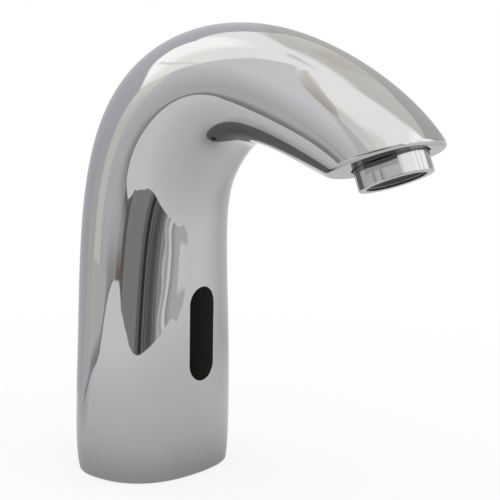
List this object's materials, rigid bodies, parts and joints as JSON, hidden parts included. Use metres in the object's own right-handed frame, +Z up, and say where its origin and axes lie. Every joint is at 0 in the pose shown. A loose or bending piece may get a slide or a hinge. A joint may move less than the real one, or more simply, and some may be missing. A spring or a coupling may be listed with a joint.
{
  "type": "sensor tap",
  "caption": "Deck-mounted touch-free basin tap: curved hollow chrome body, dark sensor window in the front, solenoid valve inside and a screw-in aerator under the tip.",
  "frame": {"origin": "centre of the base on the deck plane", "axes": "+Z up, the spout points along -Y, +X to the right as seen from behind the user facing +Y"},
  "size_m": [0.0624, 0.1428, 0.1649],
  "materials": {
    "chrome_skin": "polished chrome plate on cast brass",
    "chrome_ring": "polished chrome plate on turned brass",
    "dark_window": "polished infrared-clear near-black acrylic",
    "steel": "satin zinc-plated or stainless steel",
    "plate_steel": "satin stainless plate",
    "raw_brass": "machined brass",
    "copper_pipe": "drawn copper",
    "copper_wire": "enamelled copper winding",
    "black_rubber": "moulded EPDM",
    "black_plastic": "moulded, matt",
    "white_plastic": "moulded acetal",
    "grey_plastic": "moulded acetal",
    "board_green": "lacquered glass-fibre board",
    "lamp_clear": "tinted epoxy",
    "mesh_steel": "woven stainless mesh"
  },
  "bodies": {
    "tap": {"body_casting": "chrome_skin", "base_plate": "plate_steel", "base_seal": "black_rubber", "base_plate_screw": "steel", "valve_screws": "steel", "valve_body": "raw_brass", "inlet_o_ring": "black_rubber", "inlet_strainer": "mesh_steel", "channel_plug": "raw_brass", "diaphragm_membrane": "black_rubber", "valve_bonnet": "raw_brass", "bonnet_screws": "steel", "armature_tube": "steel", "armature_o_ring": "black_rubber", "plunger_spring": "steel", "fixed_core": "steel", "coil_bobbin": "black_plastic", "coil_winding": "copper_wire", "coil_yoke": "steel", "coil_nut": "steel", "water_tube": "copper_pipe", "tube_olive": "raw_brass", "tube_nut": "raw_brass", "feed_spigot": "raw_brass", "feed_o_ring": "black_rubber", "sensor_window": "dark_window", "sensor_gasket": "black_rubber", "sensor_case": "black_plastic", "sensor_case_screws": "steel", "sensor_board": "board_green", "ir_emitter": "lamp_clear", "ir_receiver": "lamp_clear", "control_chip": "black_plastic", "storage_capacitor": "black_plastic", "supply_socket": "black_plastic", "supply_lead": "black_plastic", "coil_lead": "black_plastic"},
    "aerator_core": {"aerator_insert": "grey_plastic", "aerator_screen": "mesh_steel", "flow_regulator": "white_plastic", "aerator_washer": "black_rubber"},
    "aerator_sleeve": {"aerator_ring": "chrome_ring"},
    "plunger_unit": {"plunger": "steel", "plunger_seal": "black_rubber"},
    "diaphragm_centre": {"diaphragm_insert": "white_plastic"}
  },
  "joints": [
    {"name": "aerator_travel", "type": "slide", "parent": "tap", "child": "aerator_core", "axis": [0, -0.3542, -0.9352], "range_m": [0, 0.0045]},
    {"name": "aerator_turn", "type": "hinge", "parent": "aerator_core", "child": "aerator_sleeve", "pos_m": [0, -0.10316, 0.119], "axis": [0, -0.3542, -0.9352], "range_deg": [0, 1620]},
    {"name": "plunger_lift", "type": "slide", "parent": "tap", "child": "plunger_unit", "axis": [0, 0, 1], "range_m": [0, 0.0015], "stiffness_N_per_m": 600, "springref_m": -0.002, "deforming": ["plunger_spring"]},
    {"name": "diaphragm_lift", "type": "slide", "parent": "tap", "child": "diaphragm_centre", "axis": [0, 0, 1], "range_m": [0, 0.0012], "deforming": ["diaphragm_membrane"]}
  ],
  "couplings": [
    {"joint": "aerator_travel", "follows": "aerator_turn", "m_per_rad": 0.00015915},
    {"joint": "diaphragm_lift", "follows": "plunger_lift", "ratio": 0.8}
  ]
}
